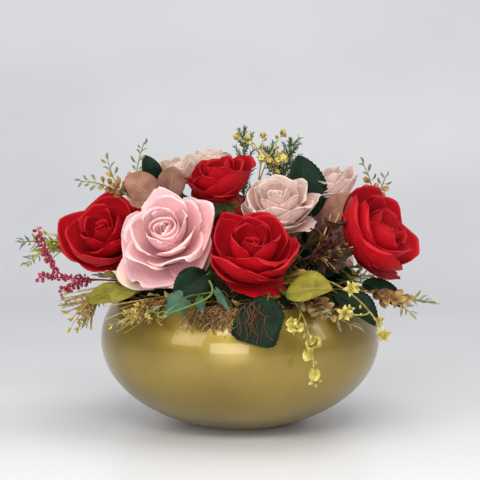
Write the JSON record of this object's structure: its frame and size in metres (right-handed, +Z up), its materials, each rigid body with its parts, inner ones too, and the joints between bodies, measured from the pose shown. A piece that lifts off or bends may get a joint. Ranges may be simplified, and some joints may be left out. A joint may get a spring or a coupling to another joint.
{
  "type": "floral table centerpiece",
  "caption": "Low round gold bowl filled with red, pink and cream roses, mixed leaves and dried golden sprays standing in floral foam.",
  "frame": {"origin": "centre of the underside of the bowl's flat base", "axes": "+Z up, +X to the right of the arrangement seen from its front, -Y towards the front"},
  "size_m": [0.3886, 0.3183, 0.2757],
  "materials": {
    "gold_lacquer": "glossy champagne-gold lacquer",
    "wood_wool": "dry brown wood-wool",
    "red_silk": "deep red velvety silk",
    "pink_silk": "pale pink silk",
    "dusty_petal": "dusty beige-pink petals",
    "cream_petal": "cream-peach petals",
    "stem_green": "green moulded stem",
    "dark_leaf": "dark green waxed leaf",
    "olive_leaf": "olive-green leaf",
    "mauve_leaf": "dusty mauve leaf",
    "ivy_leaf": "grey-green ivy leaf",
    "golden_spray": "golden dried leaflets",
    "lime_spray": "yellow-green leaflets",
    "crimson_bead": "crimson beads",
    "yellow_floret": "yellow florets and buds",
    "needle_green": "dark green needles",
    "dried_grass": "dried straw-coloured blades",
    "floral_foam": "matt porous foam"
  },
  "bodies": {
    "root": {"bowl": "gold_lacquer", "fibre_collar": "wood_wool", "rose_red_front": "red_silk", "rose_pink_front": "pink_silk", "rose_red_right": "red_silk", "rose_red_left": "red_silk", "rose_red_top": "red_silk", "rose_dusty_front": "dusty_petal", "rose_dusty_right": "dusty_petal", "rose_cream_left": "cream_petal", "rose_cream_back": "cream_petal", "rose_dusty_back": "dusty_petal", "rose_red_back": "red_silk", "rose_pink_back": "pink_silk", "stem_red_front": "stem_green", "stem_pink_front": "stem_green", "stem_red_right": "stem_green", "stem_red_left": "stem_green", "stem_red_top": "stem_green", "stem_dusty_front": "stem_green", "stem_dusty_right": "stem_green", "stem_cream_left": "stem_green", "stem_cream_back": "stem_green", "stem_dusty_back": "stem_green", "stem_red_back": "stem_green", "stem_pink_back": "stem_green", "leaf_front_rim": "dark_leaf", "leaf_front_olive": "olive_leaf", "leaf_front_dark": "dark_leaf", "leaf_right_dark": "dark_leaf", "leaf_right_low": "dark_leaf", "leaf_left_pair": "olive_leaf", "leaf_mauve_left": "mauve_leaf", "leaf_mauve_right": "mauve_leaf", "leaf_top_dark": "dark_leaf", "leaf_top_left": "dark_leaf", "leaf_back_left": "dark_leaf", "leaf_back_right": "dark_leaf", "leaf_back_olive": "olive_leaf", "ivy_sprig": "ivy_leaf", "spray_golden_top_left": "golden_spray", "spray_golden_low_left": "golden_spray", "spray_golden_front_left": "golden_spray", "spray_green_left": "lime_spray", "spray_crimson_left": "crimson_bead", "spray_golden_top_right": "golden_spray", "spray_golden_low_right": "golden_spray", "spray_golden_front_right": "golden_spray", "spray_star_right": "yellow_floret", "spray_star_front": "yellow_floret", "spray_buds_top": "yellow_floret", "spray_florets_top": "golden_spray", "spray_needles_left": "needle_green", "spray_needles_right": "needle_green", "grass_right": "dried_grass", "spray_golden_back_left": "golden_spray", "spray_green_back": "lime_spray", "spray_golden_back_right": "golden_spray", "floral_foam": "floral_foam"}
  },
  "joints": []
}
